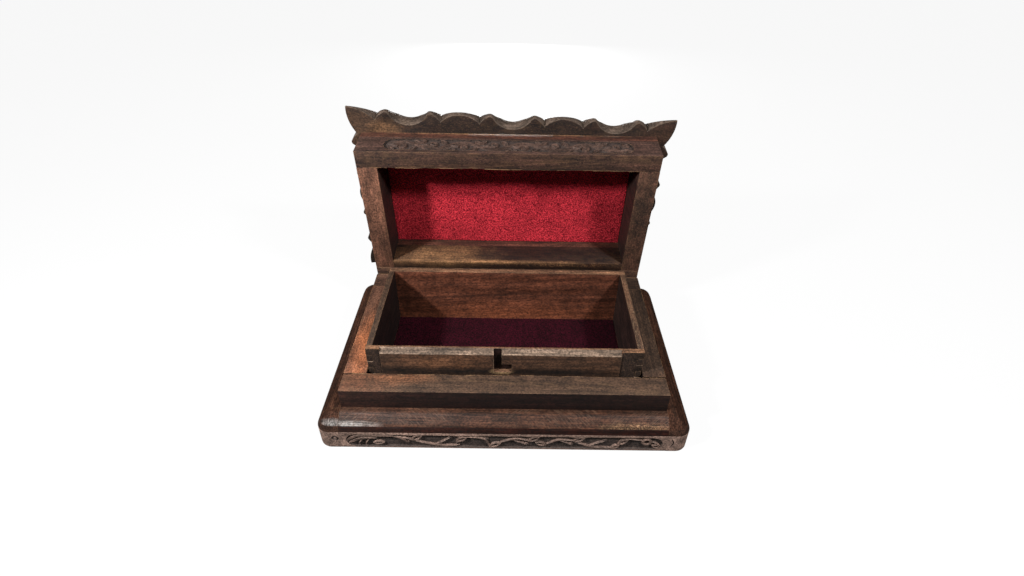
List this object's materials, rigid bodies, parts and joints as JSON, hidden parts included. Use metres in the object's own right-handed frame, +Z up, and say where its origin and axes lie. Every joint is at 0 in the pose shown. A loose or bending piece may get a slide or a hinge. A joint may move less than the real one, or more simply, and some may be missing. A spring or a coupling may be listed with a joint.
{
  "type": "carved wooden box",
  "caption": "Carved dark hardwood keepsake box with a stepped plinth, a finger-jointed liner that stands proud of the case, and a hinged, velvet-lined lid with a scalloped top.",
  "frame": {"origin": "middle of the plinth's flat foot, on the surface that the box stands on", "axes": "+X to the right along the box's length as its front is faced, +Z up, front towards -Y; the hinge line runs along X at the back and the lid stands open, as pictured"},
  "size_m": [0.207, 0.1442, 0.152],
  "materials": {
    "dark_rosewood": "dark stain, polished on the mouldings and dry on the carving, worn at the edges",
    "liner_wood": "plain planed wood, unpolished",
    "lid_velvet": "crimson velvet with a short pile",
    "tray_velvet": "deep maroon velvet with a short pile",
    "hinge_brass": "small butt hinges, dulled"
  },
  "bodies": {
    "base": {"plinth_front_moulding": "dark_rosewood", "plinth_back_moulding": "dark_rosewood", "plinth_left_moulding": "dark_rosewood", "plinth_corner_block": "dark_rosewood", "plinth_right_moulding": "dark_rosewood", "case_front_wall": "dark_rosewood", "case_back_wall": "dark_rosewood", "case_left_wall": "dark_rosewood", "case_right_wall": "dark_rosewood", "bottom_board": "liner_wood", "liner_left_wall": "liner_wood", "liner_right_wall": "liner_wood", "liner_back_wall": "liner_wood", "liner_front_wall": "liner_wood", "tray_floor_board": "liner_wood", "tray_velvet": "tray_velvet", "hinge_left_case_leaf": "hinge_brass", "hinge_right_case_leaf": "hinge_brass", "hinge_left_pin": "hinge_brass", "hinge_right_pin": "hinge_brass", "hinge_case_screws": "hinge_brass"},
    "lid": {"lid_front_wall": "dark_rosewood", "lid_back_wall": "dark_rosewood", "lid_back_strip": "dark_rosewood", "lid_left_wall": "dark_rosewood", "lid_right_wall": "dark_rosewood", "lid_top_plate": "dark_rosewood", "lid_velvet": "lid_velvet", "hinge_left_lid_leaf": "hinge_brass", "hinge_right_lid_leaf": "hinge_brass", "hinge_lid_screws": "hinge_brass"}
  },
  "joints": [
    {"name": "lid_hinge", "type": "hinge", "parent": "base", "child": "lid", "pos_m": [0, 0.05005, 0.03355], "axis": [1, 0, 0], "range_deg": [0, 84]}
  ]
}
